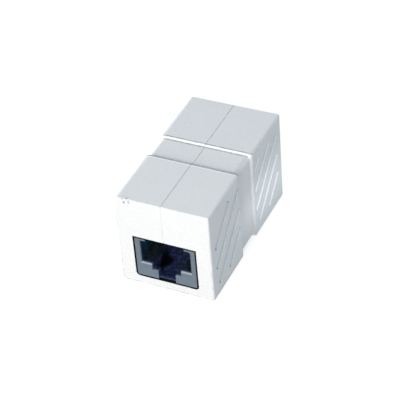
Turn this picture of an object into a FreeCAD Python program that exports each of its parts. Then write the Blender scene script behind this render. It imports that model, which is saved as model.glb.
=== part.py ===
import FreeCAD, Part
import math
import os

from FreeCAD import Vector

# Inline coupler for 8-way modular network plugs.
#
# X runs across the width, Y along the length and Z up. The origin lies under the middle
# of the body, on the surface that it rests on. The front socket faces -Y. The rear jack
# is the front one turned half a turn about Z, and so is the left shell to the right one,
# apart from its softer long edges. All sizes are millimetres.

# ---- outer form of the housing ----
body_width = 22.0
body_height = 23.0
body_length = 39.0
wall = 1.6               # sides, top and floor
end_wall = 1.6           # the two faces with the windows
right_edge_round = 0.35  # long edges of the end blocks, right shell
left_edge_round = 1.1    # the same, left shell
end_bevel = 0.2          # round the edge of each end face
collar_length = 6.3      # sunk band round the middle
collar_depth = 0.45
collar_round = 1.1       # long edges of the band
shoulder_length = 0.65   # slope beside the band

# ---- windows in the end faces ----
window_width = 15.0
window_height = 11.05
window_bottom = 2.15     # above the surface that the body rests on
window_round = 0.9       # lower corners
window_gap = 0.3         # between the window and the nose of the jack

# ---- finger grooves on the sides ----
groove_angle = 44.0      # from the length, rising towards the rear
groove_pitch = 3.82      # square to the grooves
groove_phase = 2.65      # of the pattern, from the middle of the side
groove_radius = 0.7
groove_depth = 0.35
groove_end_margin = 2.4
groove_top_margin = 3.0
groove_low_margin = 2.7
groove_shoulder_margin = 0.5
shortest_groove = 3.4

# ---- seam between the two shells ----
seam_step = 0.08         # shallow step beside the seam that hides a misfit
lip_thickness = 0.5
lip_reach = 0.8
seam_play = 0.08         # round lips and pins
boss_diameter = 4.0
boss_from_end = 4.6      # from the end face
pin_diameter = 1.8
pin_reach = 2.4

# ---- ribs inside the shells ----
rib = 1.2
rib_play = 0.05
side_rib_places = (5.5, 13.0)   # from the end face
stop_rib_reach = 5.0            # inward from the side of the jack
stop_rib_drop = 1.0             # below the top of the jack
hold_rib_from_end = 13.5
hold_rib_overlap = 1.4          # over the edge of the board

# ---- jack body ----
jack_width = 16.4
jack_height = 12.8
jack_depth = 16.6        # from the end face to its back
jack_round = 0.5
plug_width = 11.8
plug_height = 6.15
plug_depth = 12.5
plug_floor = 6.25        # above the surface that the body rests on
mouth_chamfer = 0.25
nose_bevel = 0.15        # round the front of the nose
comb_width = 9.2         # channel over the plug that holds the contacts
comb_height = 1.3
latch_width = 6.9
latch_drop = 1.6         # step under the plug floor
latch_slot_width = 4.15
latch_lip = 1.4          # front lip that the plug's latch snaps behind
latch_floor = 2.6        # above the surface that the body rests on
latch_slot_floor = 2.8   # top of the web under the slot, likewise
web_from_end = 0.6       # the web is set back from the end face
comb_back_floor = 6.9    # lower edge of the opening in the back of the jack
peg_spacing = 11.43
peg_diameter = 3.0
peg_from_end = 9.6
peg_rise = 0.5           # above the board
peg_pad = 3.8            # square pad round the foot of the peg
rear_pad_width = 2.0     # smaller pad behind the peg
rear_pad_length = 1.6
rear_pad_from_back = 0.6
standoff = 0.5           # height of the pads, under the board

# ---- contact comb and contacts ----
contact_count = 8
contact_pitch = 1.02
contact_width = 0.4
contact_thickness = 0.3
contact_bend = 0.4       # radius of the two bends at the front
contact_nose = 1.9       # from the end face to the front of the bend
contact_drop = 0.9       # from the run above to the start of the spring arm
contact_slope = 24.0     # of the spring arm
contact_tip_length = 2.8
contact_tip_rise = 0.2   # of the last bend, so that the tip lies nearly level
contact_tip_entry = 0.6  # into the back of the comb
pin_row_from_back = (3.24, 0.7)
pin_stick_out = 0.9      # above the board
comb_slot = 0.52
comb_play = 0.05
comb_front = 2.5         # from the end face
comb_plate = 1.05
slot_floor_play = 0.1
tip_slot_depth = 0.9
tip_slot_height = 1.7

# ---- circuit board ----
board_width = 16.0
board_thickness = 1.6
board_round = 1.0
board_margin = 2.6       # beyond the pegs
pin_hole = 0.8
peg_hole_play = 0.1      # all round

# ---- values that follow ----
half_width = body_width / 2
half_length = body_length / 2
half_collar = collar_length / 2
shoulder_end = half_collar + shoulder_length
inner_half = half_width - wall
inner_end = half_length - end_wall
ceiling = body_height - wall
window_top = window_bottom + window_height
nose_half = window_width / 2 - window_gap
nose_bottom = window_bottom + window_gap
nose_top = window_top - window_gap
jack_half = jack_width / 2
jack_top = wall + jack_height
jack_back = half_length - jack_depth
plug_half = plug_width / 2
plug_top = plug_floor + plug_height
plug_end = half_length - plug_depth
step_floor = plug_floor - latch_drop
comb_half = comb_width / 2
comb_ceiling = plug_top + comb_height
board_bottom = jack_top + standoff
board_top = board_bottom + board_thickness
peg_y = half_length - peg_from_end
board_half_length = peg_y + board_margin
boss_y = half_length - boss_from_end
boss_z = (jack_top + ceiling) / 2
run_z = comb_ceiling - comb_play - contact_thickness
BITE = 0.5               # how far a rib is rooted into its wall
PAST = 1.0               # how far a cutting tool runs past the material


def box(x0, x1, y0, y1, z0, z1):
    return Part.makeBox(x1 - x0, y1 - y0, z1 - z0, Vector(x0, y0, z0))


def centred_box(half_x, y0, y1, z0, z1):
    return box(-half_x, half_x, y0, y1, z0, z1)


def turned(shape):
    """The same shape turned half a turn about the upright axis."""
    copy = shape.copy()
    copy.rotate(Vector(0, 0, 0), Vector(0, 0, 1), 180)
    return copy


def rounded_outline(y, inset, radius):
    """Outline across the body at y, drawn in from its full size by inset."""
    x = half_width - inset
    low = inset
    high = body_height - inset
    edges = []
    last = Vector(radius - x, y, low)
    for side, rise in ((1, 1), (1, -1), (-1, -1), (-1, 1)):
        corner_z = low if rise > 0 else high
        centre = Vector(side * (x - radius), y, corner_z + rise * radius)
        on_side = Vector(side * x, y, centre.z)
        on_level = Vector(centre.x, y, corner_z)
        middle = centre + Vector(side, 0, -rise).normalize() * radius
        start, end = (on_level, on_side) if side * rise > 0 else (on_side, on_level)
        edges.append(Part.LineSegment(last, start).toShape())
        edges.append(Part.Arc(start, middle, end).toShape())
        last = end
    return Part.Wire(edges)


def edges_along_y(shape):
    found = []
    for edge in shape.Edges:
        direction = edge.tangentAt(edge.FirstParameter)
        if abs(direction.y) > 0.999:
            found.append(edge)
    return found


def edges_in_plane(shape, y):
    """Edges that lie in the plane across the length at y."""
    found = []
    for edge in shape.Edges:
        bounds = edge.BoundBox
        if abs(bounds.YMin - y) < 0.001 and abs(bounds.YMax - y) < 0.001:
            found.append(edge)
    return found


def joined(first, others):
    result = first
    for other in others:
        result = result.fuse(other)
    return result.removeSplitter()


# ---- housing ----

def outer_form(edge_round, inset):
    """The whole body without grooves or windows, drawn in all round by inset."""
    end = half_length - inset
    stations = (
        (end, inset + end_bevel, edge_round - end_bevel),
        (end - end_bevel, inset, edge_round),
        (shoulder_end, inset, edge_round),
        (half_collar, inset + collar_depth, collar_round),
    )
    front = [rounded_outline(-y, draw_in, radius) for y, draw_in, radius in stations]
    rear = [rounded_outline(y, draw_in, radius) for y, draw_in, radius in reversed(stations)]
    return Part.makeLoft(front + rear, True, True)


def groove_ends(offset, y0, y1, z0, z1):
    """Where the grip line at this offset enters and leaves a panel of the side."""
    along_y = math.cos(math.radians(groove_angle))
    along_z = math.sin(math.radians(groove_angle))
    y_foot = offset * along_z
    z_foot = body_height / 2 - offset * along_y
    low = max((y0 - y_foot) / along_y, (z0 - z_foot) / along_z)
    high = min((y1 - y_foot) / along_y, (z1 - z_foot) / along_z)
    start = Vector(0, y_foot + low * along_y, z_foot + low * along_z)
    end = Vector(0, y_foot + high * along_y, z_foot + high * along_z)
    return high - low, start, end


def grip_grooves():
    """Cutters for the slanted finger grooves on the +X side, front and rear."""
    shift = Vector(half_width + groove_radius - groove_depth, 0, 0)
    z0 = groove_low_margin
    z1 = body_height - groove_top_margin
    near = shoulder_end + groove_shoulder_margin
    far = half_length - groove_end_margin
    reach = int((body_length + body_height) / groove_pitch)
    cutters = []
    for y0, y1 in ((-far, -near), (near, far)):
        for number in range(-reach, reach + 1):
            offset = groove_phase + number * groove_pitch
            length, start, end = groove_ends(offset, y0, y1, z0, z1)
            if length >= shortest_groove:
                cutters.append(Part.makeCylinder(groove_radius, length, start + shift,
                                                 end - start))
    return cutters


def window():
    """Opening through the front end wall, with its two lower corners rounded."""
    half = window_width / 2
    opening = centred_box(half, -half_length - PAST, -inner_end + PAST,
                          window_bottom, window_top)
    lower = [edge for edge in edges_along_y(opening)
             if edge.BoundBox.ZMax < window_bottom + 0.001]
    return opening.makeFillet(window_round, lower)


def seam_lip(play):
    """Lip along the front half of the seam, on the inner part of the wall."""
    outer = lip_thickness + play
    ring = box(-lip_reach - play, play, -inner_end - outer, -seam_play,
               wall - outer, ceiling + outer)
    ring = ring.cut(box(-half_width, half_width, -inner_end, half_length, wall, ceiling))
    margin = window_gap - play
    return ring.cut(centred_box(half_width, -half_length, -inner_end,
                                wall - lip_thickness - PAST, window_top + margin))


def seam_edge():
    """The skin of the body right beside the seam, which the shallow step leaves out."""
    slab = box(-PAST, seam_step, -half_length - PAST, half_length + PAST,
               -PAST, body_height + PAST)
    return slab.cut(outer_form(right_edge_round, seam_step))


def shell_ribs():
    """Ribs of the right shell that hold the two jacks and the board."""
    side_x = jack_half + rib_play
    stop_x = jack_half - stop_rib_reach
    stop_y = jack_back - rib_play
    hold_x = board_width / 2 - hold_rib_overlap
    hold_y = half_length - hold_rib_from_end
    ribs = []
    for place in side_rib_places:
        y = half_length - place
        ribs.append(box(side_x, inner_half + BITE, -y - rib / 2, -y + rib / 2,
                        wall - BITE, jack_top))
    ribs.append(box(stop_x, inner_half + BITE, -stop_y, -stop_y + rib,
                    wall - BITE, jack_top - stop_rib_drop))
    ribs.append(box(hold_x, inner_half + BITE, -hold_y - rib / 2, -hold_y + rib / 2,
                    board_top + rib_play, ceiling + BITE))
    length = inner_half + BITE
    ribs.append(Part.makeCylinder(boss_diameter / 2, length, Vector(0, -boss_y, boss_z),
                                  Vector(1, 0, 0)))
    return ribs


def mirrored_front_to_rear(shape):
    return shape.mirror(Vector(0, 0, 0), Vector(0, 1, 0))


def locating_pin():
    """Pin of the front boss, with a bevelled tip."""
    radius = pin_diameter / 2
    bevel = radius / 2
    root = Vector(BITE, -boss_y, boss_z)
    pin = Part.makeCylinder(radius, pin_reach - bevel + BITE, root, Vector(-1, 0, 0))
    tip_root = Vector(bevel - pin_reach, -boss_y, boss_z)
    tip = Part.makeCone(radius, radius - bevel, bevel, tip_root, Vector(-1, 0, 0))
    return pin.fuse(tip)


def pin_socket():
    radius = pin_diameter / 2 + seam_play
    depth = pin_reach + seam_play
    root = Vector(-PAST, boss_y, boss_z)
    return Part.makeCylinder(radius, depth + PAST, root, Vector(1, 0, 0))


def right_hand_shell(edge_round):
    """A +X half of the housing: walls, grooves, ribs, seam lip, pin and socket."""
    body = outer_form(edge_round, 0)
    for cutter in grip_grooves():
        body = body.cut(cutter)
    body = body.cut(centred_box(inner_half, -inner_end, inner_end, wall, ceiling))
    body = body.cut(window()).cut(turned(window()))
    shell = body.common(box(0, half_width + PAST, -half_length - PAST, half_length + PAST,
                            -PAST, body_height + PAST))
    ribs = shell_ribs()
    ribs += [mirrored_front_to_rear(piece) for piece in ribs]
    shell = joined(shell, ribs + [seam_lip(0), locating_pin()])
    recess = turned(seam_lip(seam_play))
    return shell.cut(recess).cut(pin_socket()).cut(seam_edge())


# ---- front jack ----

def jack_nose():
    """Front of the jack, which fills the window and lies flush with the end face."""
    nose = centred_box(nose_half, -half_length, -inner_end + BITE, nose_bottom, nose_top)
    lower = [edge for edge in edges_along_y(nose)
             if edge.BoundBox.ZMax < nose_bottom + 0.001]
    nose = nose.makeFillet(window_round - window_gap, lower)
    return nose.makeChamfer(nose_bevel, edges_in_plane(nose, -half_length))


def mouth_bevel():
    """Lead-in round the sides and floor of the plug mouth."""
    front = -half_length
    c = mouth_chamfer
    outer = [Vector(-plug_half - c, front, plug_floor - c),
             Vector(plug_half + c, front, plug_floor - c),
             Vector(plug_half + c, front, plug_top - c),
             Vector(-plug_half - c, front, plug_top - c)]
    inner = [Vector(-plug_half, front + c, plug_floor),
             Vector(plug_half, front + c, plug_floor),
             Vector(plug_half, front + c, plug_top - c),
             Vector(-plug_half, front + c, plug_top - c)]
    wires = [Part.makePolygon(points + points[:1]) for points in (outer, inner)]
    return Part.makeLoft(wires, True, True)


def jack_hollow():
    """Everything that is open inside the jack: plug, latch and contact channel."""
    mouth = -half_length - PAST
    parts = [
        centred_box(plug_half, mouth, -plug_end, plug_floor, plug_top),
        centred_box(comb_half, mouth, -inner_end, plug_top - BITE, nose_top + PAST),
        centred_box(comb_half, -inner_end, -plug_end, plug_top - BITE, comb_ceiling),
        centred_box(comb_half, -plug_end - BITE, -jack_back + PAST,
                    comb_back_floor, jack_top + PAST),
        centred_box(latch_width / 2, mouth, -plug_end, step_floor, plug_floor + BITE),
        centred_box(latch_slot_width / 2, mouth, -half_length + latch_lip,
                    latch_slot_floor, step_floor + BITE),
        centred_box(latch_slot_width / 2, mouth, -half_length + web_from_end,
                    nose_bottom - PAST, step_floor + BITE),
        centred_box(latch_width / 2, -half_length + latch_lip, -plug_end,
                    latch_floor, step_floor + BITE),
    ]
    return joined(parts[0], parts[1:])


def mounting_peg(x):
    """Peg that locates the board, on the square pad that the board rests on."""
    half = peg_pad / 2
    pad = box(x - half, x + half, -peg_y - half, -peg_y + half,
              jack_top - BITE, board_bottom)
    height = board_top + peg_rise - jack_top
    shaft = Part.makeCylinder(peg_diameter / 2, height, Vector(x, -peg_y, jack_top))
    return joined(pad, [shaft])


def rear_pad(x):
    """Pad behind the peg, which keeps the board level."""
    half = rear_pad_width / 2
    rear = -jack_back - rear_pad_from_back
    return box(x - half, x + half, rear - rear_pad_length, rear,
               jack_top - BITE, board_bottom)


def jack_body():
    block = centred_box(jack_half, -inner_end, -jack_back, wall, jack_top)
    block = block.makeFillet(jack_round, edges_along_y(block))
    body = joined(block, [jack_nose()])
    body = body.cut(jack_hollow()).cut(mouth_bevel())
    pieces = []
    for x in (-peg_spacing / 2, peg_spacing / 2):
        pieces += [mounting_peg(x), rear_pad(x)]
    return joined(body, pieces)


# ---- contact comb and contacts of the front jack ----

def contact_x(number):
    return (number - (contact_count - 1) / 2) * contact_pitch


def pin_y(number):
    """The solder pins stand in two rows, turn about."""
    return -jack_back - pin_row_from_back[number % len(pin_row_from_back)]


def contact_comb():
    """Slotted plate over the plug, with a block behind it that guides the tips."""
    half = comb_half - comb_play
    plate = centred_box(half, -half_length + comb_front, -plug_end + BITE,
                        comb_ceiling - comb_play - comb_plate, comb_ceiling - comb_play)
    block = centred_box(half, -plug_end, -jack_back, comb_back_floor + comb_play, jack_top)
    comb = joined(plate, [block])
    run_bottom = run_z - contact_thickness / 2 - slot_floor_play
    tip_bottom = arm_end()[1] - tip_slot_height / 2
    slots = []
    for number in range(contact_count):
        x = contact_x(number)
        run_end = pin_y(number) + contact_thickness / 2 + slot_floor_play
        slots.append(box(x - comb_slot / 2, x + comb_slot / 2, -half_length, run_end,
                         run_bottom, jack_top + PAST))
        slots.append(box(x - comb_slot / 2, x + comb_slot / 2, -plug_end - PAST,
                         -plug_end + tip_slot_depth, tip_bottom,
                         tip_bottom + tip_slot_height))
    for slot in slots:
        comb = comb.cut(slot)
    return comb


def arm_end():
    """Where the sloping arm ends and the nearly level tip starts, as (y, z)."""
    tip_y = -plug_end + contact_tip_entry
    y = tip_y - contact_tip_length
    run = y - (-half_length + contact_nose)
    z = run_z - contact_drop - run * math.tan(math.radians(contact_slope))
    return y, z


def contact_corners(number):
    """Corners of the bent strip in the side view, from the solder pin to the tip."""
    nose_y = -half_length + contact_nose
    arm_y, arm_z = arm_end()
    return [
        Vector(0, pin_y(number), board_top + pin_stick_out),
        Vector(0, pin_y(number), run_z),
        Vector(0, nose_y, run_z),
        Vector(0, nose_y, run_z - contact_drop),
        Vector(0, arm_y, arm_z),
        Vector(0, arm_y + contact_tip_length, arm_z - contact_tip_rise),
    ]


def strip_side(corners, bends, shift):
    """One long side of a bent strip, shifted from its middle line: straight runs with
    arcs at the round bends and plain corners at the sharp ones."""
    edges = []
    last = None
    for index in range(1, len(corners)):
        along = (corners[index] - corners[index - 1]).normalize()
        across = Vector(0, -along.z, along.y) * shift
        if last is None:
            last = corners[0] + across
        if index == len(corners) - 1:
            edges.append(Part.LineSegment(last, corners[index] + across))
            break
        onward = (corners[index + 1] - corners[index]).normalize()
        onward_across = Vector(0, -onward.z, onward.y) * shift
        turn = along.getAngle(onward)
        if bends[index] == 0:
            corner = corners[index] + (across + onward_across) * (1 / (1 + math.cos(turn)))
            edges.append(Part.LineSegment(last, corner))
            last = corner
            continue
        back_off = bends[index] * math.tan(turn / 2)
        bisector = (onward - along).normalize()
        centre = corners[index] + bisector * (bends[index] / math.cos(turn / 2))
        enter = corners[index] - along * back_off + across
        leave = corners[index] + onward * back_off + onward_across
        middle = centre - bisector * (enter - centre).Length
        edges.append(Part.LineSegment(last, enter))
        edges.append(Part.Arc(enter, middle, leave))
        last = leave
    return edges


def contact(number):
    """Spring contact: solder pin, run over the plug, front bend and sloping arm."""
    corners = contact_corners(number)
    bends = (0, 0, contact_bend, contact_bend, 0, 0)
    near = strip_side(corners, bends, contact_thickness / 2)
    far = strip_side(corners, bends, -contact_thickness / 2)
    caps = [Part.LineSegment(near[0].StartPoint, far[0].StartPoint),
            Part.LineSegment(near[-1].EndPoint, far[-1].EndPoint)]
    edges = [piece.toShape() for piece in near + far + caps]
    outline = Part.Wire(Part.__sortEdges__(edges))
    strip = Part.Face(outline).extrude(Vector(contact_width, 0, 0))
    strip.translate(Vector(contact_x(number) - contact_width / 2, 0, 0))
    return strip


# ---- circuit board ----

def board_hole(x, y, radius):
    foot = Vector(x, y, board_bottom - PAST)
    return Part.makeCylinder(radius, board_thickness + 2 * PAST, foot)


def circuit_board():
    """Board over both jacks, with holes for their pegs and pins."""
    board = centred_box(board_width / 2, -board_half_length, board_half_length,
                        board_bottom, board_top)
    upright = [edge for edge in board.Edges
               if abs(edge.tangentAt(edge.FirstParameter).z) > 0.999]
    board = board.makeFillet(board_round, upright)
    holes = [board_hole(contact_x(number), pin_y(number), pin_hole / 2)
             for number in range(contact_count)]
    for x in (-peg_spacing / 2, peg_spacing / 2):
        holes.append(board_hole(x, -peg_y, peg_diameter / 2 + peg_hole_play))
    for hole in holes:
        board = board.cut(hole).cut(turned(hole))
    return board


def save(name, shape):
    shape.exportStep(os.path.join("parts", name + ".step"))


def main():
    os.makedirs("parts", exist_ok=True)
    save("housing_right", right_hand_shell(right_edge_round))
    save("housing_left", turned(right_hand_shell(left_edge_round)))
    jack = jack_body()
    save("front_jack_body", jack)
    save("rear_jack_body", turned(jack))
    comb = contact_comb()
    save("front_contact_comb", comb)
    save("rear_contact_comb", turned(comb))
    for number in range(contact_count):
        strip = contact(number)
        save("front_contact_%d" % (number + 1), strip)
        save("rear_contact_%d" % (number + 1), turned(strip))
    save("circuit_board", circuit_board())


main()
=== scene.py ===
# %% [markdown]
# # An inline coupler for two network plugs
#
# The object is a small white box, 22 mm wide, 39 mm long and 23 mm high, with a dark
# socket in each end. This script gives every part its finish, adds the solder on the
# board inside, and builds the studio around it. Everything is in metres: x runs across
# the width, y along the length and z up, with the front socket at negative y.

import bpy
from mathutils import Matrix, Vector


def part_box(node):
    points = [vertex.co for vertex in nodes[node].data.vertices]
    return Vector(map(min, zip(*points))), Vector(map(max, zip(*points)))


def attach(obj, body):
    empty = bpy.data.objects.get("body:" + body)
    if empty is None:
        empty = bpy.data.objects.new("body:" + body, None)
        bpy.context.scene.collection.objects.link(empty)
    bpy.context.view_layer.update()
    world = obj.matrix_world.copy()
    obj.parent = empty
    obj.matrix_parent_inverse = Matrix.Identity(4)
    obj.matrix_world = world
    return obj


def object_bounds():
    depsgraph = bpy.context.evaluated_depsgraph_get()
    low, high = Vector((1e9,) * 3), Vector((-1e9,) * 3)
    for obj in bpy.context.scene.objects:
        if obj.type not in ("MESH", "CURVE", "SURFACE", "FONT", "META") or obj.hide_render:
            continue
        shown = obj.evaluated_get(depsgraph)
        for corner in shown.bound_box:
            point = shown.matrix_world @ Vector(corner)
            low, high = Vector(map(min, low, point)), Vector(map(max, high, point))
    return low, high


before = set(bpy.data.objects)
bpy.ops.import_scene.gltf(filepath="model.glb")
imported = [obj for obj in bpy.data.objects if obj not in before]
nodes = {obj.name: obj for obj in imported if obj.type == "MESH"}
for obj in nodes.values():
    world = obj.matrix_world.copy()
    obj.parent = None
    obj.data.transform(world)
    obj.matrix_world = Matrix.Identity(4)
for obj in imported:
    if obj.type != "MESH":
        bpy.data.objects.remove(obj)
cad_low, cad_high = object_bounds()
print("parts:", len(nodes), "from", tuple(cad_low), "to", tuple(cad_high))

# %% [markdown]
# ## Libraries and measures
#
# `bpy` is Blender itself, `bmesh` builds meshes face by face, and `mathutils` has vectors
# and turns. Lengths below are written in millimetres times `MM`. The size of the whole
# part is read from the frame, so it is never typed in twice.

# %% Libraries and plain measures
import math
import bmesh
import bpy
from mathutils import Quaternion, Vector

MM = 0.001
DATA = bpy.data
scene = bpy.context.scene
width, length, height = (cad_high[axis] - cad_low[axis] for axis in range(3))
print("box in mm:", round(width / MM, 2), round(length / MM, 2), round(height / MM, 2))

# %% [markdown]
# ## Short helpers for shader nodes
#
# A material in Blender is a graph of nodes. Each helper adds one kind of node, sets its
# values and wires its inputs in one call, so that a material reads from top to bottom.
# A value is either a plain number or colour, or the output socket of an earlier node.

# %% Node helpers
def put(tree, kind, settings=None, **inputs):
    """Adds a node, sets its options, and wires or sets its inputs by name or place."""
    node = tree.nodes.new("ShaderNode" + kind)
    for name, value in (settings or {}).items():
        setattr(node, name, value)
    for name, value in inputs.items():
        key = int(name[1:]) if name[0] == "_" else name.replace("_", " ")
        socket = node.inputs[key]
        if isinstance(value, bpy.types.NodeSocket):
            tree.links.new(value, socket)
        else:
            socket.default_value = value
    return node


def calc(tree, operation, *values):
    """One sum on numbers that may change over the surface."""
    places = {"_%d" % place: value for place, value in enumerate(values)}
    return put(tree, "Math", {"operation": operation}, **places).outputs[0]


def unsigned(tree, value):
    """A value without its sign."""
    return calc(tree, "ABSOLUTE", value)


def fade(tree, value, low, high, at_low=0.0, at_high=1.0):
    """Turns a value into a soft step between two limits."""
    return put(tree, "MapRange", {"interpolation_type": "SMOOTHSTEP"}, _0=value,
               _1=low, _2=high, _3=at_low, _4=at_high).outputs[0]


def blend(tree, factor, first, second):
    """Mixes two colours by a mask."""
    mix = put(tree, "Mix", {"data_type": "RGBA"}, _0=factor, _6=first, _7=second)
    return mix.outputs[2]


def rgba(red, green, blue):
    """A solid colour from its linear red, green and blue."""
    return (red, green, blue, 1.0)


print("helpers ready")

# %% [markdown]
# ## Shared effects as node groups
#
# An effect that several finishes share, such as grain or wear, is built once as a node
# group with named inputs and outputs. Each material then places the group with its own
# values. The first two helpers open a group with its sockets and close it with its
# results, and the third places it. The others read where a point lies, which way its
# face looks, and how a soft noise changes over the part.

# %% Group helpers
def open_group(name, inputs, outputs):
    """Makes an empty group with its sockets. Returns its tree and its inner inputs."""
    tree = DATA.node_groups.new(name, "ShaderNodeTree")
    for label, value in inputs:
        kind = "NodeSocketColor" if isinstance(value, tuple) else "NodeSocketFloat"
        socket = tree.interface.new_socket(label, in_out="INPUT", socket_type=kind)
        socket.default_value = value
    for label in outputs:
        kind = "NodeSocketColor" if label == "Colour" else "NodeSocketFloat"
        kind = "NodeSocketVector" if label == "Normal" else kind
        tree.interface.new_socket(label, in_out="OUTPUT", socket_type=kind)
    return tree, tree.nodes.new("NodeGroupInput").outputs


def close_group(tree, **results):
    """Wires the results to the outputs of a group, by name."""
    end = tree.nodes.new("NodeGroupOutput")
    for label, value in results.items():
        tree.links.new(value, end.inputs[label])
    print("group:", tree.name, "->", ", ".join(results))
    return tree


def use(tree, group, **inputs):
    """Places a group in a material and returns its outputs."""
    return put(tree, "Group", {"node_tree": group}, **inputs).outputs


def place(tree):
    """Where a point lies in the part, in metres. It moves with the part."""
    return put(tree, "TexCoord").outputs["Object"]


def facing(tree):
    """Which way the face at a point looks."""
    return put(tree, "NewGeometry").outputs["True Normal"]


def split(tree, vector):
    """The parts of a vector, by the axis names X, Y and Z."""
    return put(tree, "SeparateXYZ", Vector=vector).outputs


def noise(tree, scale, detail=2.0, where=None):
    """Soft noise from 0 to 1. Scale says how many times it changes over a metre."""
    where = where or place(tree)
    return put(tree, "TexNoise", Vector=where, Scale=scale, Detail=detail).outputs[0]


print("group helpers ready")

# %% [markdown]
# ### Moulded grain
#
# A plastic part copies the steel of its mould, which is spark-eroded to a fine matt
# grain. Under a lamp it breaks the gloss into a soft sheen. Two layers of noise, one
# close and one wider, give a height for a Bump node and a small change of roughness.

# %% Moulded grain
def build_grain():
    tree, given = open_group("moulded grain", [("Size", 0.0002), ("Roughness", 0.4),
                                               ("Roughness Change", 0.08)],
                             ["Height", "Roughness"])
    density = calc(tree, "DIVIDE", 1.0, given["Size"])
    close = noise(tree, density, 3.0)
    wide = noise(tree, calc(tree, "MULTIPLY", density, 0.06), 2.0)
    relief = calc(tree, "ADD", calc(tree, "MULTIPLY", close, 0.7),
                  calc(tree, "MULTIPLY", wide, 0.3))
    change = calc(tree, "MULTIPLY", calc(tree, "SUBTRACT", wide, 0.5),
                  given["Roughness Change"])
    change = calc(tree, "MULTIPLY", change, 2.0)
    roughness = calc(tree, "ADD", given["Roughness"], change)
    return close_group(tree, Height=relief, Roughness=roughness)


MOULDED_GRAIN = build_grain()

# %% [markdown]
# ### Colour drift
#
# No moulding is one even colour. The pigment drifts with the flow of the melt, and hands
# and light change it later. Slow noise at two sizes moves the colour a little towards a
# second one, too weakly to be seen as a pattern.

# %% Colour drift
def build_drift():
    tree, given = open_group("colour drift", [("Main", rgba(0.8, 0.8, 0.8)),
                                              ("Other", rgba(0.7, 0.7, 0.7)),
                                              ("Size", 0.006), ("Amount", 0.5)],
                             ["Colour"])
    density = calc(tree, "DIVIDE", 1.0, given["Size"])
    slow = fade(tree, noise(tree, density, 2.0), 0.3, 0.7)
    quick = fade(tree, noise(tree, calc(tree, "MULTIPLY", density, 6.0), 3.0), 0.35, 0.75)
    both = calc(tree, "ADD", calc(tree, "MULTIPLY", slow, 0.65),
                calc(tree, "MULTIPLY", quick, 0.35))
    share = calc(tree, "MULTIPLY", both, given["Amount"])
    return close_group(tree, Colour=blend(tree, share, given["Main"], given["Other"]))


COLOUR_DRIFT = build_drift()

# %% [markdown]
# ### Rubbed edges
#
# Edges touch the world first, so they are polished and slightly paler. The Bevel node
# gives the normal that a rounded edge would have. Where it turns away from the true
# normal, the point is near an edge, and noise breaks the line so that it looks used.
# The same normal goes out as well, because it gives a sharp CAD edge its soft highlight.

# %% Rubbed edges
def build_edges():
    tree, given = open_group("rubbed edges", [("Radius", 0.0002), ("Break Up", 0.0012)],
                             ["Mask", "Normal"])
    bevel = put(tree, "Bevel", {"samples": 6}, Radius=given["Radius"]).outputs[0]
    cosine = put(tree, "VectorMath", {"operation": "DOT_PRODUCT"}, _0=bevel,
                 _1=facing(tree))
    turned = fade(tree, cosine.outputs["Value"], 0.99, 0.86)
    patches = noise(tree, calc(tree, "DIVIDE", 1.0, given["Break Up"]), 4.0)
    mask = calc(tree, "MULTIPLY", turned, fade(tree, patches, 0.35, 0.65, 0.25, 1.0))
    return close_group(tree, Mask=mask, Normal=bevel)


RUBBED_EDGES = build_edges()

# %% [markdown]
# ### Dust and painted shade in corners
#
# Grooves, seams and gaps are where dust stays and where shade falls. The Ambient
# Occlusion node tells how closed in a point is, which is high in a narrow gap and zero on
# an open face. Dust settles best on what looks up, so upright faces keep less of it, and
# noise makes the deposit uneven. On the white housing the mask lays a dark grey, which is
# painted shade in the creases as well as dust.

# %% Dust and painted shade in corners
def build_dust():
    tree, given = open_group("corner dust and shade", [("Reach", 0.0005), ("Amount", 0.8)], ["Mask"])
    open_sky = put(tree, "AmbientOcclusion", {"samples": 8}, Distance=given["Reach"])
    closed_in = fade(tree, open_sky.outputs["AO"], 0.75, 0.15)
    patches = fade(tree, noise(tree, 900.0, 4.0), 0.3, 0.7, 0.6, 1.0)
    upward = split(tree, facing(tree))["Z"]
    settled = fade(tree, upward, 0.0, 0.8, 0.35, 1.0)
    mask = calc(tree, "MULTIPLY", calc(tree, "MULTIPLY", closed_in, patches), settled)
    return close_group(tree, Mask=calc(tree, "MULTIPLY", mask, given["Amount"]))


CORNER_DUST_AND_SHADE = build_dust()

# %% [markdown]
# ### Fine scratches
#
# A small part that lives in a tool bag picks up hairline scratches in all directions.
# Noise that is stretched far along one direction makes short thin lines. Two sets, each
# turned its own way, are cut off high, so that only a few lines are left.

# %% Fine scratches
def build_scratches():
    tree, given = open_group("fine scratches", [("Density", 700.0), ("Amount", 0.5)],
                             ["Mask"])
    marks = None
    for turn in (0.5, 2.1):
        rotated = put(tree, "Mapping", Vector=place(tree), Scale=(1.0, 0.03, 1.0),
                      Rotation=(turn, turn * 0.7, turn * 1.3))
        lines = noise(tree, given["Density"], 1.0, rotated.outputs[0])
        lines = fade(tree, lines, 0.70, 0.76)
        marks = lines if marks is None else calc(tree, "MAXIMUM", marks, lines)
    where = fade(tree, noise(tree, 220.0, 2.0), 0.45, 0.62)
    mask = calc(tree, "MULTIPLY", calc(tree, "MULTIPLY", marks, where), given["Amount"])
    return close_group(tree, Mask=mask)


FINE_SCRATCHES = build_scratches()

# %% [markdown]
# ### Specks
#
# Tiny dark specks are dust grains or burnt resin at the skin of the moulding. A Voronoi
# texture gives the distance to scattered points. Each point draws a random number, and
# only those with a low one keep their speck.

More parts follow.
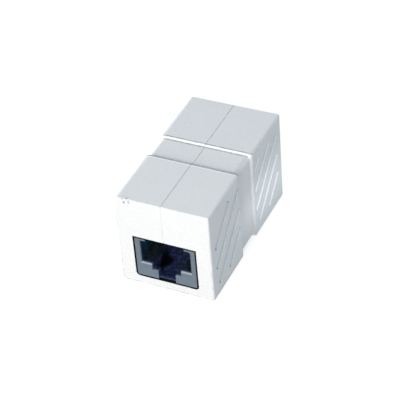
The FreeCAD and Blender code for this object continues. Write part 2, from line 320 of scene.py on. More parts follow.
# %% Specks
def build_specks():
    tree, given = open_group("specks", [("Spacing", 0.003), ("Size", 0.00012),
                                        ("Share", 0.3)], ["Mask"])
    density = calc(tree, "DIVIDE", 1.0, given["Spacing"])
    cells = put(tree, "TexVoronoi", Vector=place(tree), Scale=density)
    radius = calc(tree, "DIVIDE", given["Size"], given["Spacing"])
    near = calc(tree, "LESS_THAN", cells.outputs["Distance"], radius)
    lot = put(tree, "SeparateColor", Color=cells.outputs["Color"]).outputs[0]
    kept = calc(tree, "LESS_THAN", lot, given["Share"])
    return close_group(tree, Mask=calc(tree, "MULTIPLY", near, kept))


SPECKS = build_specks()

# %% [markdown]
# ### Depth into the socket
#
# The face of a jack, its sills and the walls behind them look different, and the change
# from one to the next takes a fraction of a millimetre. This mask is 0 on the face and
# grows to 1 behind a lip of a given depth. Both ends are alike, so it takes the distance
# from the middle of the coupler along y, without its sign.

# %% Depth into the socket
def build_depth():
    tree, given = open_group("socket depth", [("Mouth", length / 2), ("Lip", 0.0003),
                                              ("Fade", 0.0008)], ["Mask"])
    along = unsigned(tree, split(tree, place(tree))["Y"])
    depth = calc(tree, "SUBTRACT", given["Mouth"], along)
    past_lip = calc(tree, "SUBTRACT", depth, given["Lip"])
    share = calc(tree, "DIVIDE", past_lip, given["Fade"])
    return close_group(tree, Mask=fade(tree, share, 0.0, 1.0))


SOCKET_DEPTH = build_depth()

# %% [markdown]
# ## Finishes
#
# Each finish is a Principled BSDF, which is one shader for plastics, metals and coats.
# Numbers that stay the same all over the surface are set on the shader itself. What
# changes over the surface comes in through the groups above.

# %% Start and end of a finish
def open_finish(name):
    """Makes an empty material. Returns it with its tree."""
    material = DATA.materials.new(name)
    material.use_nodes = True
    tree = material.node_tree
    tree.nodes.clear()
    return material, tree


def close_finish(material, tree, **inputs):
    """Adds the shader with its inputs, and returns the finished material."""
    shader = put(tree, "BsdfPrincipled", **inputs)
    put(tree, "OutputMaterial", Surface=shader.outputs[0])
    print("finish:", material.name, "with", len(tree.nodes), "nodes")
    return material


def bump(tree, relief, depth, normal=None):
    """A surface normal from a relief between 0 and 1, depth in metres."""
    node = put(tree, "Bump", Height=relief, Distance=depth, Strength=1.0)
    if normal is not None:
        tree.links.new(normal, node.inputs["Normal"])
    return node.outputs[0]


print("finish helpers ready")

# %% [markdown]
# ### Masks from places
#
# Many marks on a used part sit at a known place: in a corner, along an edge, low on a
# side. Such a mark gets a mask, a number from 0 to 1 that is worked out from where the
# point lies and which way its face looks. Masks that are multiplied leave the mark only
# where all of them hold. The colours are then laid over each other, mark by mark.

# %% Mask helpers
HAIR = 0.01 * MM


def inside(tree, value, low, high):
    """One where a value lies between two limits, and zero elsewhere."""
    above = calc(tree, "GREATER_THAN", value, low)
    return calc(tree, "MULTIPLY", above, calc(tree, "LESS_THAN", value, high))


def all_of(tree, *masks):
    """The product of several masks."""
    result = masks[0]
    for mask in masks[1:]:
        result = calc(tree, "MULTIPLY", result, mask)
    return result


def any_of(tree, *masks):
    """The strongest of several masks."""
    result = masks[0]
    for mask in masks[1:]:
        result = calc(tree, "MAXIMUM", result, mask)
    return result


def line_at(tree, value, middle, core=0.09 * MM, edge=0.19 * MM):
    """One along a thin line where a value meets its middle, fading out at both sides."""
    away = unsigned(tree, calc(tree, "SUBTRACT", value, middle))
    return fade(tree, away, edge, core)


def distance(tree, first, second):
    """How far two points are from each other."""
    apart = put(tree, "VectorMath", {"operation": "DISTANCE"}, _0=first, _1=second)
    return apart.outputs["Value"]


def lay_over(tree, colour, layers):
    """Lays colours over a first one, each by its own mask."""
    for mask, layer in layers:
        colour = blend(tree, mask, colour, layer)
    return colour


print("mask helpers ready")

# %% [markdown]
# ### White housing
#
# The shells are moulded in a cool white plastic with a satin skin. Most of what the eye
# reads on them is small: a painted highlight stripe with painted shade lines beside the
# band, painted shade in the front grooves and painted highlights in the rear ones, a few
# nicks. The next cells give each kind of mark its own short function, and the last one
# builds the finish from them.

# %% Colours of the housing
WHITE = rgba(0.797, 0.812, 0.837)
WHITE_AGED = rgba(0.756, 0.772, 0.795)
WHITE_MOTTLED = rgba(0.735, 0.755, 0.775)
WHITE_RUBBED = rgba(0.84, 0.855, 0.875)
# Painted highlight, for the edge line on the front block and the rear grooves.
HIGHLIGHT_WHITE = rgba(0.93, 0.94, 0.96)
# Dust. On the white housing this dark grey is also painted shade in creases and gaps.
DUST_AND_SHADE = rgba(0.20, 0.215, 0.235)
# Painted shade, for the slopes and the outlines of the end faces.
SHADE_GREY = rgba(0.24, 0.25, 0.275)
SPECK = rgba(0.06, 0.06, 0.07)
print("white of the housing:", WHITE[:3])

# %% [markdown]
# #### Slopes beside the band
#
# A slope leads from each block down to the sunk band. On top it is painted paler as a
# highlight stripe, with a thin line of painted shade at its foot and at its crest. Down
# the sides it is painted darker towards the bottom, as shade. On the front block the edge
# before the slope carries a thin pale line of painted highlight.

# %% Slopes beside the band
BAND_HALF = 3.15 * MM
SLOPE_END = BAND_HALF + 0.65 * MM
# Painted highlight on the upper slopes.
SLOPE_HIGHLIGHT = rgba(0.87, 0.88, 0.90)
FOOT_LINE = BAND_HALF + 0.03 * MM
CREST_LINE = SLOPE_END + 0.08 * MM
HIGHLIGHT_LINE = SLOPE_END + 0.45 * MM


def on_slope(tree, along):
    """One on the slopes at both ends of the band."""
    return inside(tree, along, BAND_HALF - HAIR, SLOPE_END + HAIR)


def slope_highlight(tree, at, along):
    """The upper part of the slopes, painted paler as a highlight."""
    return all_of(tree, on_slope(tree, along), fade(tree, at["Z"], 15 * MM, 21 * MM))


def slope_shade(tree, at, along, faces):
    """Painted shade: thin dark lines along the slopes on top, and a darkening that grows
    downwards on the slopes of the sides."""
    lines = any_of(tree, line_at(tree, along, FOOT_LINE), line_at(tree, along, CREST_LINE))
    patches = fade(tree, noise(tree, 1200.0, 3.0), 0.3, 0.7, 0.6, 0.9)
    on_top = fade(tree, faces["Z"], 0.4, 0.6)
    on_side = fade(tree, unsigned(tree, faces["X"]), 0.5, 0.75)
    low = fade(tree, at["Z"], 18 * MM, 8 * MM, 0.05, 0.30)
    return any_of(tree, all_of(tree, lines, patches, on_top),
                  all_of(tree, on_slope(tree, along), on_side, low))


def edge_highlight(tree, at, faces):
    """A thin line of painted highlight on top, just in front of the slope of the front
    block.
    """
    line = line_at(tree, at["Y"], -HIGHLIGHT_LINE, core=0.10 * MM)
    return all_of(tree, line, fade(tree, faces["Z"], 0.9, 0.97), 0.9)


print("band is", round(2 * BAND_HALF / MM, 2), "mm long")

# %% [markdown]
# #### End faces
#
# The end faces stay cleaner than the rest. A faint broken line of painted shade runs along
# their outline, mostly low down, and the seam there is painted pale, which takes the shade
# out of its gap. The walls of each window are painted nearly black, as the shade of the
# gap round the jack.

# %% End faces
END = length / 2
BEVEL = 0.2 * MM
CORNER_ROUND = 1.1 * MM
MARGIN_WIDTH = 0.45 * MM
MARGIN_FADE = 0.25 * MM
SEAM_HALF = 0.1 * MM
# Painted light in the seam across the end faces.
SEAM_PALE = rgba(0.97, 0.97, 0.97)
WINDOW_HALF = 7.5 * MM
WINDOW_LOW = 2.15 * MM
WINDOW_HIGH = 13.2 * MM
# Painted shade for the walls of the windows and the sides of the nose.
GAP_SHADE = rgba(0.012, 0.013, 0.016)


def outline_shade(tree, at, faces):
    """A broken line of painted shade along the sides, the lower corners and the foot of an
    end face.
    """
    aside = calc(tree, "SUBTRACT", unsigned(tree, at["X"]), width / 2 - CORNER_ROUND)
    below = calc(tree, "SUBTRACT", CORNER_ROUND, at["Z"])
    reach = put(tree, "CombineXYZ", _0=calc(tree, "MAXIMUM", aside, 0.0),
                _1=calc(tree, "MAXIMUM", below, 0.0)).outputs[0]
    start = CORNER_ROUND - MARGIN_WIDTH
    margin = fade(tree, distance(tree, reach, (0, 0, 0)), start, start + MARGIN_FADE)
    on_end = fade(tree, unsigned(tree, faces["Y"]), 0.6, 0.9)
    patches = fade(tree, noise(tree, 230.0, 2.0), 0.40, 0.54)
    low = fade(tree, at["Z"], 12 * MM, 2 * MM, 0.3, 1.0)
    return all_of(tree, margin, on_end, patches, low, 0.7)


def painted_pale_seam(tree, at, along):
    """The seam where it crosses an end face, painted pale to take the shade out of its
    gap.
    """
    beside = calc(tree, "LESS_THAN", unsigned(tree, at["X"]), SEAM_HALF)
    return all_of(tree, beside, inside(tree, along, END - 2 * SEAM_HALF, END - HAIR))


def window_walls(tree, at, along):
    """One on the walls of the windows, behind the end faces, which are painted as shade.
    """
    across = inside(tree, at["X"], -WINDOW_HALF - HAIR, WINDOW_HALF + HAIR)
    upright = inside(tree, at["Z"], WINDOW_LOW - HAIR, WINDOW_HIGH + HAIR)
    return all_of(tree, across, upright, calc(tree, "LESS_THAN", along, END - 2 * HAIR))


print("window is", round(2 * WINDOW_HALF / MM, 2), "mm wide")

# %% [markdown]
# #### Finger grooves and nicks
#
# The grooves of the front block are painted darker, as shade, and those of the rear block
# paler, as a highlight. The Ambient Occlusion node finds the grooves, because their round
# walls see less of the sky than the panel does. The nicks are small dark marks that a
# knock left near the upper left corner of the front face.

# %% Finger grooves and nicks
PANEL = (4.2 * MM, 17.3 * MM)
GROOVE_REACH = 0.9 * MM
GROOVE_FLOOR = width / 2 - 0.36 * MM
# Painted shade in the grooves of the front block.
GROOVE_SHADE = rgba(0.46, 0.49, 0.51)
NICKS_AT = (-8.3 * MM, -END, 22.45 * MM)


def in_groove(tree, at, along):
    """How deep a point lies in a finger groove. It is zero on the panels round them."""
    open_sky = put(tree, "AmbientOcclusion", {"samples": 8}, Distance=GROOVE_REACH)
    hollow = fade(tree, open_sky.outputs["AO"], 0.95, 0.80)
    on_side = calc(tree, "GREATER_THAN", unsigned(tree, at["X"]), GROOVE_FLOOR)
    return all_of(tree, hollow, inside(tree, along, *PANEL), on_side, 0.8)


def groove_highlight_and_shade(tree, at):
    """A painted highlight behind the band, and painted shade in front of it."""
    toward_front = fade(tree, at["Y"], 4 * MM, -4 * MM)
    return blend(tree, toward_front, HIGHLIGHT_WHITE, GROOVE_SHADE)


def nicks(tree):
    """Small dark marks in a patch about 2 mm wide."""
    patch = fade(tree, distance(tree, place(tree), NICKS_AT), 1.5 * MM, 0.6 * MM)
    return all_of(tree, patch, fade(tree, noise(tree, 2400.0, 2.0), 0.54, 0.59))


print("nicks lie", round(NICKS_AT[2] / MM, 2), "mm up")

# %% [markdown]
# #### The finish of the housing
#
# A slow drift of the white and a fine mottle come first, and the marks, the painted
# highlights and the painted shade follow. The long upper edges look crisp at the ends and
# softer near the band, so the rounding that the Bevel node shades grows towards the
# middle. The dust and painted shade of the corner mask stay off the end faces and their
# bevels.

# %% White housing
CRISP_ROUND = 0.12 * MM
SOFT_ROUND = 0.9 * MM
EDGE_ZONE = (2.5 * MM, 1.2 * MM)


def upper_edge_round(tree, at, along):
    """The radius that the Bevel node shades, larger on the upper edges near the band."""
    far, close = EDGE_ZONE
    high = fade(tree, at["Z"], height - far, height - close)
    aside = fade(tree, unsigned(tree, at["X"]), width / 2 - far, width / 2 - close)
    soft = all_of(tree, high, aside, fade(tree, along, END, 4 * MM))
    return calc(tree, "MULTIPLY_ADD", soft, SOFT_ROUND, CRISP_ROUND)


def housing_colour(tree, at, along, rubbed, dust):
    """The white of the shells, with each mark, painted highlight and painted shade laid
    over it.
    """
    faces = split(tree, facing(tree))
    specks = use(tree, SPECKS, Spacing=2.6 * MM, Size=0.09 * MM, Share=0.16)
    plain = use(tree, COLOUR_DRIFT, Main=WHITE, Other=WHITE_AGED, Size=5 * MM, Amount=0.7)
    behind_end = calc(tree, "LESS_THAN", along, END - BEVEL)
    dark_spots = any_of(tree, specks["Mask"], nicks(tree))
    # The slope stripe, the edge line and the rear grooves are painted highlights, and the
    # seam is painted light. The dust layer is also painted shade. The outline, the slope
    # lines, the front grooves and the window walls are painted shade.
    return lay_over(tree, plain[0], (
        (fade(tree, noise(tree, 2300.0, 2.0), 0.32, 0.68), WHITE_MOTTLED),
        (rubbed, WHITE_RUBBED),
        (slope_highlight(tree, at, along), SLOPE_HIGHLIGHT),
        (edge_highlight(tree, at, faces), HIGHLIGHT_WHITE),
        (all_of(tree, dust, behind_end), DUST_AND_SHADE),
        (painted_pale_seam(tree, at, along), SEAM_PALE),
        (outline_shade(tree, at, faces), SHADE_GREY),
        (slope_shade(tree, at, along, faces), SHADE_GREY),
        (in_groove(tree, at, along), groove_highlight_and_shade(tree, at)),
        (all_of(tree, dark_spots, 0.7), SPECK),
        (window_walls(tree, at, along), GAP_SHADE),
    ))


def white_housing():
    material, tree = open_finish("white housing")
    at = split(tree, place(tree))
    along = unsigned(tree, at["Y"])
    edges = use(tree, RUBBED_EDGES, Radius=upper_edge_round(tree, at, along),
                Break_Up=1.5 * MM)
    grain = use(tree, MOULDED_GRAIN, Size=0.34 * MM, Roughness=0.42, Roughness_Change=0.12)
    # The corner mask lays dust and painted shade into the creases and gaps.
    dust = use(tree, CORNER_DUST_AND_SHADE, Reach=0.35 * MM, Amount=0.36)["Mask"]
    scratches = use(tree, FINE_SCRATCHES, Density=900.0, Amount=0.5)["Mask"]
    rubbed = all_of(tree, edges["Mask"], 0.5)
    colour = housing_colour(tree, at, along, rubbed, dust)
    roughness = calc(tree, "MULTIPLY_ADD", rubbed, -0.15, grain["Roughness"])
    roughness = calc(tree, "MULTIPLY_ADD", dust, 0.3, roughness)
    roughness = calc(tree, "MULTIPLY_ADD", scratches, 0.2, roughness)
    relief = calc(tree, "MULTIPLY_ADD", scratches, -0.8, grain["Height"])
    normal = bump(tree, relief, 0.022 * MM, edges["Normal"])
    return close_finish(material, tree, Base_Color=colour, Roughness=roughness,
                        Normal=normal, IOR=1.5)


HOUSING = white_housing()

# %% [markdown]
# ### Blue-grey jack
#
# The jack is a harder plastic in a dark blue-grey, with a coarse matt grain on its face.
# The face is a little paler low down, and its edges and the sills just behind it are
# painted pale as a highlight for the first third of a millimetre. The bevel and the outer
# sides of the nose lie in the gap to the window, and are painted nearly black as its
# shade.

# %% Face of the jack
JACK_FACE = rgba(0.086, 0.138, 0.188)
JACK_FACE_WARM = rgba(0.140, 0.160, 0.188)
JACK_PALE = rgba(0.125, 0.190, 0.255)
# Painted highlight on the edges of the jack and on the sills that look up.
JACK_HIGHLIGHT = rgba(0.42, 0.46, 0.52)
SILL_DEPTH = 0.30 * MM
NOSE_HALF = 7.2 * MM
NOSE_LOW = 2.45 * MM
NOSE_TOP = 12.9 * MM
NOSE_BEVEL = 0.15 * MM


def nose_sides(tree, at, past_face):
    """One on the bevel and the outer sides of the nose, beside the walls of the window,
    painted as shade.
    """
    bevel = NOSE_BEVEL - HAIR
    aside = calc(tree, "GREATER_THAN", unsigned(tree, at["X"]), NOSE_HALF - bevel)
    above = calc(tree, "GREATER_THAN", at["Z"], NOSE_TOP - bevel)
    below = calc(tree, "LESS_THAN", at["Z"], NOSE_LOW + bevel)
    return all_of(tree, any_of(tree, aside, above, below), past_face)


def face_colour(tree, at, rubbed, past_face):
    """The face with a painted highlight on its edges and on the sills just behind it."""
    plain = use(tree, COLOUR_DRIFT, Main=JACK_FACE, Other=JACK_FACE_WARM, Size=1.6 * MM,
                Amount=0.9)
    looks_up = fade(tree, split(tree, facing(tree))["Z"], 0.5, 0.7)
    return lay_over(tree, plain[0], (
        (fade(tree, at["Z"], 5.5 * MM, 3.5 * MM, 0.0, 0.28), JACK_PALE),
        (all_of(tree, rubbed, 0.6), JACK_HIGHLIGHT),
        (all_of(tree, looks_up, past_face, 0.75), JACK_HIGHLIGHT),
    ))


print("nose is", round(2 * NOSE_HALF / MM, 2), "mm wide")

# %% [markdown]
# #### Inside the mouth
#
# The dark blue walls inside the socket are painted with the light that bounces between
# them and with shade: a teal tint beside the plug, dull at its floor, and navy to violet
# under the latch, darker in patches at random. One corner of the latch channel is painted
# black as deep shade. The rear socket is the front one turned half a turn, so the place
# across the width changes its sign with the end.

# %% Inside the mouth
# Painted light tints and painted shade for the walls inside the mouth.
JACK_NAVY = rgba(0.028, 0.075, 0.170)
JACK_VIOLET = rgba(0.060, 0.062, 0.240)
JACK_TEAL = rgba(0.010, 0.085, 0.150)
JACK_DULL = rgba(0.018, 0.030, 0.042)
JACK_SHADE_BLACK = rgba(0.003, 0.003, 0.005)
PLUG_FLOOR = 6.25 * MM
DARK_CORNER = (-3.2 * MM, 5.9 * MM, 3.2 * MM)
DARK_CORNER_SIZE = (2.6 * MM, 1.3 * MM)


def mouth_colour(tree, at):
    """The walls behind the sills, in painted light and shade. A place in the mouth is
    (across, depth, height).
    """
    depth = calc(tree, "SUBTRACT", END, unsigned(tree, at["Y"]))
    end_sign = calc(tree, "MULTIPLY", calc(tree, "SIGN", at["Y"]), -1.0)
    across = calc(tree, "MULTIPLY", at["X"], end_sign)
    here = put(tree, "CombineXYZ", _0=across, _1=depth, _2=at["Z"]).outputs[0]
    under_latch = use(tree, COLOUR_DRIFT, Main=JACK_NAVY, Other=JACK_VIOLET,
                      Size=1.5 * MM, Amount=1.0)
    at_floor = fade(tree, at["Z"], PLUG_FLOOR - 0.6 * MM, PLUG_FLOOR - 0.1 * MM)
    beside = fade(tree, at["Z"], PLUG_FLOOR + 0.4 * MM, PLUG_FLOOR + 1.2 * MM)
    return lay_over(tree, under_latch[0], (
        (all_of(tree, at_floor, fade(tree, depth, 0.6 * MM, 1.4 * MM)), JACK_DULL),
        (all_of(tree, beside, fade(tree, depth, 0.9 * MM, 1.6 * MM)), JACK_TEAL),
        (fade(tree, noise(tree, 1300.0, 2.0), 0.40, 0.58, 0.7, 0.0), JACK_SHADE_BLACK),
        (fade(tree, distance(tree, here, DARK_CORNER), *DARK_CORNER_SIZE), JACK_SHADE_BLACK),
    ))


print("plug floor is", round(PLUG_FLOOR / MM, 2), "mm up")

# %% [markdown]
# #### The finish of the jack
#
# The depth mask is placed twice: with a lip of a hair it tells the face from all that
# lies behind it, and with a lip of a third of a millimetre it tells the sills from the
# walls inside.

# %% Blue-grey jack
def blue_grey_jack():
    material, tree = open_finish("blue-grey jack")
    at = split(tree, place(tree))
    past_face = use(tree, SOCKET_DEPTH, Mouth=END, Lip=HAIR, Fade=HAIR)["Mask"]
    past_sill = use(tree, SOCKET_DEPTH, Mouth=END, Lip=SILL_DEPTH, Fade=0.3 * MM)["Mask"]
    edges = use(tree, RUBBED_EDGES, Radius=0.10 * MM, Break_Up=0.8 * MM)
    grain = use(tree, MOULDED_GRAIN, Size=0.12 * MM, Roughness=0.45, Roughness_Change=0.12)
    dust = use(tree, CORNER_DUST_AND_SHADE, Reach=0.25 * MM, Amount=0.6)["Mask"]
    # Painted highlights on the face, painted light and shade in the mouth, and painted
    # shade on the sides of the nose.
    colour = lay_over(tree, face_colour(tree, at, edges["Mask"], past_face), (
        (past_sill, mouth_colour(tree, at)),
        (nose_sides(tree, at, past_face), GAP_SHADE),
    ))
    roughness = calc(tree, "MULTIPLY_ADD", past_sill, -0.1, grain["Roughness"])
    roughness = calc(tree, "MULTIPLY_ADD", dust, 0.3, roughness)
    normal = bump(tree, grain["Height"], 0.006 * MM, edges["Normal"])
    return close_finish(material, tree, Base_Color=colour, Roughness=roughness,
                        Normal=normal, IOR=1.5)


JACK = blue_grey_jack()

# %% [markdown]
# ### Black comb
#
# The combs that hold the contacts are black, with a fine grain and pale dust between
# their teeth.

# %% Black comb
COMB_BLACK = rgba(0.012, 0.013, 0.016)
COMB_GREY = rgba(0.028, 0.028, 0.032)


def black_comb():
    material, tree = open_finish("black comb")
    edges = use(tree, RUBBED_EDGES, Radius=0.06 * MM, Break_Up=0.5 * MM)
    grain = use(tree, MOULDED_GRAIN, Size=0.10 * MM, Roughness=0.38, Roughness_Change=0.10)
    dust = use(tree, CORNER_DUST_AND_SHADE, Reach=0.2 * MM, Amount=0.4)["Mask"]
    plain = use(tree, COLOUR_DRIFT, Main=COMB_BLACK, Other=COMB_GREY, Size=1.5 * MM,
                Amount=0.8)
    colour = blend(tree, all_of(tree, dust, 0.3), plain[0], DUST_AND_SHADE)
    roughness = calc(tree, "MULTIPLY_ADD", dust, 0.3, grain["Roughness"])
    normal = bump(tree, grain["Height"], 0.004 * MM, edges["Normal"])
    return close_finish(material, tree, Base_Color=colour, Roughness=roughness,
                        Normal=normal, IOR=1.5)


COMB = black_comb()

# %% [markdown]
# ### Plated contacts
#
# The springs are phosphor bronze, plated with gold where the plug rubs and with tin at
# the solder pins. Height tells the two apart, because the pins stand up through the
# board. Drawing and bending the strip leave fine scratches, and the gloss is broken there.

# %% Plated contacts
GOLD = rgba(0.83, 0.60, 0.26)
GOLD_DULL = rgba(0.66, 0.47, 0.22)
TIN = rgba(0.62, 0.62, 0.60)
board_low, board_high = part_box("circuit_board")
TIN_LINE = board_low[2] - 0.4 * MM


def plated_contacts():
    material, tree = open_finish("plated contacts")
    up = split(tree, place(tree))["Z"]
    tinned = fade(tree, up, TIN_LINE - 0.2 * MM, TIN_LINE + 0.2 * MM)
    scratches = use(tree, FINE_SCRATCHES, Density=2600.0, Amount=0.8)["Mask"]
    grain = use(tree, MOULDED_GRAIN, Size=0.05 * MM, Roughness=0.24, Roughness_Change=0.08)
    plain = use(tree, COLOUR_DRIFT, Main=GOLD, Other=GOLD_DULL, Size=1.2 * MM, Amount=0.7)
    colour = blend(tree, tinned, plain[0], TIN)
    roughness = calc(tree, "MULTIPLY_ADD", tinned, 0.12, grain["Roughness"])
    roughness = calc(tree, "MULTIPLY_ADD", scratches, 0.15, roughness)
    relief = calc(tree, "MULTIPLY_ADD", scratches, -0.6, grain["Height"])
    return close_finish(material, tree, Base_Color=colour, Roughness=roughness,
                        Normal=bump(tree, relief, 0.002 * MM), Metallic=1.0)


CONTACT = plated_contacts()

# %% [markdown]
# ### Circuit board
#
# A board is glass cloth in resin under a green lacquer. The cloth shows through as a
# square weave about half a millimetre wide. At the sawn edges and in the holes there is
# no lacquer, so faces that don't look up or down show the pale straw of the resin.

# %% Circuit board
LACQUER = rgba(0.010, 0.125, 0.050)
LACQUER_LIGHT = rgba(0.022, 0.175, 0.075)
RESIN = rgba(0.50, 0.43, 0.22)
WEAVE = 0.5 * MM


def green_board():
    material, tree = open_finish("green board")
    at = split(tree, place(tree))
    threads = []
    for axis in ("X", "Y"):
        phase = calc(tree, "MULTIPLY", at[axis], 2 * math.pi / WEAVE)
        threads.append(calc(tree, "MULTIPLY_ADD", calc(tree, "SINE", phase), 0.5, 0.5))
    weave = all_of(tree, *threads)
    flat = unsigned(tree, split(tree, facing(tree))["Z"])
    cut = fade(tree, flat, 0.6, 0.4)
    plain = use(tree, COLOUR_DRIFT, Main=LACQUER, Other=LACQUER_LIGHT, Size=3 * MM,
                Amount=0.6)
    colour = lay_over(tree, plain[0], ((all_of(tree, weave, 0.35), LACQUER_LIGHT),
                                       (cut, RESIN)))
    grain = use(tree, MOULDED_GRAIN, Size=0.3 * MM, Roughness=0.30, Roughness_Change=0.08)
    roughness = calc(tree, "MULTIPLY_ADD", cut, 0.45, grain["Roughness"])
    relief = calc(tree, "MULTIPLY_ADD", weave, 0.6, grain["Height"])
    return close_finish(material, tree, Base_Color=colour, Roughness=roughness,
                        Normal=bump(tree, relief, 0.004 * MM), IOR=1.5)


BOARD = green_board()

# %% [markdown]
# ### Solder
#
# Solder is tin that froze from a melt: bright, a little uneven, with a frosted patch
# where it cooled last.

# %% Solder finish
SOLDER = rgba(0.66, 0.66, 0.64)
SOLDER_FROSTED = rgba(0.50, 0.50, 0.49)


def frozen_solder():
    material, tree = open_finish("solder")
    grain = use(tree, MOULDED_GRAIN, Size=0.15 * MM, Roughness=0.22, Roughness_Change=0.14)
    colour = use(tree, COLOUR_DRIFT, Main=SOLDER, Other=SOLDER_FROSTED, Size=0.6 * MM,
                 Amount=0.8)[0]
    normal = bump(tree, grain["Height"], 0.012 * MM)
    return close_finish(material, tree, Base_Color=colour, Roughness=grain["Roughness"],
                        Normal=normal, Metallic=1.0)


SOLDER_FINISH = frozen_solder()

# %% [markdown]
# ## Finishes onto the CAD parts
#
# The record gives each part a material slot, and the part's name says which one it is.
# Each CAD mesh keeps its shape. Only the material in its slot changes.

# %% Assign the finishes
FINISH_OF = {"housing": HOUSING, "jack_body": JACK, "contact_comb": COMB,
             "contact_": CONTACT, "board": BOARD}
for name, node in nodes.items():
    word = next(key for key in FINISH_OF if key in name)
    node.material_slots[0].material = FINISH_OF[word]
    print(name, "->", FINISH_OF[word].name)

# %% [markdown]
# ## Solder joints on the board
#
# Each contact ends in a pin that stands up through the board, and molten solder climbed
# up that pin and froze in a hollow cone. The joint is a body of revolution, so its
# outline is turned round the pin: wide and flat at the pad, then curving in to the pin.
# A joint knows its place from the box of its contact, whose pin is at the inner end.

# %% Solder joints
PAD_RADIUS = 0.44 * MM
PIN_RADIUS = 0.19 * MM
JOINT_HEIGHT = 0.70 * MM
HOLLOW = 2.4
OUTLINE_STEPS = 7
TURNS = 20
STRIP_SHARE = 0.375


def joint_outline():
    """Radius and height from the pad to the tip, hollow like a drop that wets a pin."""
    points = []
    for step in range(OUTLINE_STEPS + 1):
        share = step / OUTLINE_STEPS
        radius = PIN_RADIUS + (PAD_RADIUS - PIN_RADIUS) * (1 - share) ** HOLLOW
        points.append((radius, JOINT_HEIGHT * share))
    return points


def turn_joint(mesh, foot):
    """Turns the outline round the pin at foot, and closes it at both ends."""
    rings = []
    for radius, rise in joint_outline():
        ring = []
        for turn in range(TURNS):
            angle = 2 * math.pi * turn / TURNS
            offset = Vector((radius * math.cos(angle), radius * math.sin(angle), rise))
            ring.append(mesh.verts.new(foot + offset))
        rings.append(ring)
    for lower, upper in zip(rings, rings[1:]):
        for turn in range(TURNS):
            after = (turn + 1) % TURNS
            mesh.faces.new((lower[turn], lower[after], upper[after], upper[turn]))
    mesh.faces.new(reversed(rings[0]))
    mesh.faces.new(rings[-1])


def pin_foot(name, inner_end):
    """The middle of a contact's pin, at the top of the board. The pin is the inner end
    of the strip, and half its thickness is this share of the strip's width."""
    low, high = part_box(name)
    half_strip = (high[0] - low[0]) * STRIP_SHARE
    pin_y = high[1] - half_strip if inner_end > 0 else low[1] + half_strip
    return Vector(((low[0] + high[0]) / 2, pin_y, board_high[2]))


def solder_joints(side, inner_end):
    """The eight joints of one jack. inner_end is the sign of y on its inner side."""
    mesh = bmesh.new()
    for name in sorted(nodes):
        if not name.startswith(side + "_contact_") or name.endswith("comb"):
            continue
        turn_joint(mesh, pin_foot(name, inner_end))
    data = DATA.meshes.new(side + "_solder_joints")
    mesh.to_mesh(data)
    mesh.free()
    data.shade_smooth()
    data.materials.append(SOLDER_FINISH)
    piece = DATA.objects.new(data.name, data)
    scene.collection.objects.link(piece)
    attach(piece, "root")
    print(piece.name, "has", len(data.polygons), "faces")


solder_joints("front", 1)
solder_joints("rear", -1)

# %% [markdown]
# ## Camera
#
# The camera stands in front of the socket, to the right and well above, and leans a
# little to one side. A long lens keeps the long edges of the box nearly parallel.

# %% Camera
CAMERA_AT = Vector((125.92, -243.577, 229.904)) * MM
CAMERA_LOOKS = Vector((-0.359769, 0.692623, -0.625172))
CAMERA_LEAN = math.radians(-4.850)
LENS = 142.57
SENSOR = 36.0
NEAR_LIMIT = 10 * MM

camera_data = DATA.cameras.new("camera")
camera_data.lens = LENS
camera_data.sensor_width = SENSOR
camera_data.clip_start = NEAR_LIMIT
camera = DATA.objects.new("camera", camera_data)
scene.collection.objects.link(camera)
camera.rotation_mode = "QUATERNION"
camera.location = CAMERA_AT
camera.rotation_quaternion = (CAMERA_LOOKS.to_track_quat("-Z", "Y")
                              @ Quaternion((0, 0, 1), CAMERA_LEAN))
scene.camera = camera
print("camera stands", round(CAMERA_AT.length / MM), "mm from the origin")

# %% [markdown]
# ## Floor
#
# The floor is a plain pale sheet. To the camera and to mirrors it adds a glow of its own,
# so that it reads as white without any more light on the object, and its own shading
# still takes the soft shadow.

# %% Floor
FLOOR_HALF = 1.5
FLOOR_GREY = 0.4
FLOOR_GLOW = 0.74


def glow_when_seen(tree, strength):
    """A strength that only the camera and mirror-like rays meet."""
    rays = put(tree, "LightPath").outputs
    seen = calc(tree, "MAXIMUM", rays["Is Camera Ray"], rays["Is Glossy Ray"])
    seen = calc(tree, "MAXIMUM", seen, rays["Is Transmission Ray"])
    return calc(tree, "MULTIPLY", seen, strength)


def pale_floor():
    material, tree = open_finish("pale floor")
    glow = put(tree, "Emission", Color=rgba(1, 1, 1),
               Strength=glow_when_seen(tree, FLOOR_GLOW))
    matt = put(tree, "BsdfDiffuse", Color=rgba(FLOOR_GREY, FLOOR_GREY, FLOOR_GREY))
    both = put(tree, "AddShader", _0=glow.outputs[0], _1=matt.outputs[0])
    put(tree, "OutputMaterial", Surface=both.outputs[0])
    return material


floor_mesh = DATA.meshes.new("floor")
corners = [(-FLOOR_HALF, -FLOOR_HALF, 0), (FLOOR_HALF, -FLOOR_HALF, 0),
           (FLOOR_HALF, FLOOR_HALF, 0), (-FLOOR_HALF, FLOOR_HALF, 0)]
floor_mesh.from_pydata(corners, [], [(0, 1, 2, 3)])
floor_mesh.materials.append(pale_floor())
floor = DATA.objects.new("floor", floor_mesh)
scene.collection.objects.link(floor)
print("floor is", 2 * FLOOR_HALF, "m square")

# %% [markdown]
# ## Light
#
# In a product studio most of the light is soft and comes from all sides, off pale paper.
# The world stands for that paper: a dome that is a little blue, and plain white where
# the camera looks straight at it.

# %% World
DOME = rgba(0.88, 0.97, 1.05)
DOME_LEVEL = 0.38

world = DATA.worlds.new("studio")
scene.world = world
world.use_nodes = True
tree = world.node_tree
tree.nodes.clear()
paper = put(tree, "Background", Color=DOME, Strength=DOME_LEVEL)
white = put(tree, "Background", Color=rgba(1, 1, 1), Strength=1.0)
seen = put(tree, "LightPath").outputs["Is Camera Ray"]
sky = put(tree, "MixShader", Fac=seen, _1=paper.outputs[0], _2=white.outputs[0])
put(tree, "OutputWorld", Surface=sky.outputs[0])
print("dome level", DOME_LEVEL)

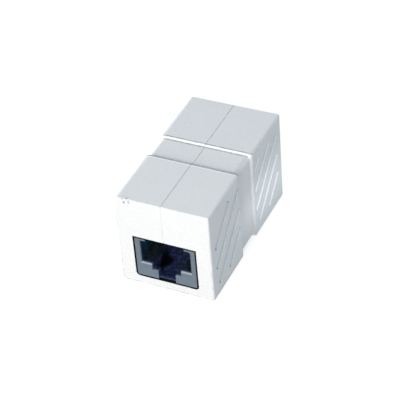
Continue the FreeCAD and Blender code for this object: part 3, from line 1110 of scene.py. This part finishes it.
# %% [markdown]
# ### Lamps
#
# The key lamp stands in front and is a little warm. It lights the front face to a clean
# white, while the bluish dome and a small bluish lamp at the rear right leave the right
# side a cool grey. Two more soft lamps light the left side and the top. A narrow spot
# grazes the rear block from the front, so that the walls of its grooves flash. Lamps are
# set by level, and level 1 is the light at which a surface that faces the lamp renders
# as its colour is written.

# %% Lamps
SPOT_RADIUS = 3 * MM


def hang(name, data, at, aim):
    """Puts a lamp in the scene, turned towards its aim."""
    item = DATA.objects.new(name, data)
    scene.collection.objects.link(item)
    away = Vector(at) - Vector(aim)
    item.location = at
    item.rotation_mode = "QUATERNION"
    item.rotation_quaternion = (-away).to_track_quat("-Z", "Y")
    print(name, "hangs", round(away.length / MM), "mm away")
    return away.length


def soft_lamp(name, at, aim, size, level, tint=(1.0, 1.0, 1.0)):
    """A square soft lamp. Level 1 lights a surface that faces it fully."""
    data = DATA.lights.new(name, "AREA")
    data.shape = "SQUARE"
    data.size = size
    data.color = tint
    data.energy = level * math.pi ** 2 * hang(name, data, at, aim) ** 2


def spot_lamp(name, at, aim, reach, level):
    """A lamp with a narrow soft cone, reach wide on each side of its aim."""
    data = DATA.lights.new(name, "SPOT")
    data.shadow_soft_size = SPOT_RADIUS
    away = hang(name, data, at, aim)
    data.spot_size = 2 * math.atan(reach / away)
    data.spot_blend = 1.0
    data.energy = level * 4 * math.pi ** 2 * away ** 2


middle = (0.0, 0.0, height / 2)
soft_lamp("key", at=(0.04, -0.47, 0.15), aim=middle, size=0.22, level=0.925,
          tint=(1.0, 0.955, 0.895))
soft_lamp("left", at=(-0.50, 0.07, 0.10), aim=middle, size=0.22, level=0.80)
soft_lamp("top", at=(-0.02, 0.03, 0.50), aim=middle, size=0.25, level=0.168)
soft_lamp("fill", at=(0.30, 0.20, 0.08), aim=middle, size=0.12, level=0.136,
          tint=(0.70, 0.97, 1.07))
spot_lamp("glint", at=(0.18, -0.35, 0.056), aim=(width / 2, 11 * MM, 7.8 * MM),
          reach=8.4 * MM, level=0.49)

# %% [markdown]
# ## Finish
#
# Blender must not change the size of the part. The last cell sets the view transform to
# Standard.

# %% Finish
scene.view_settings.view_transform = "Standard"
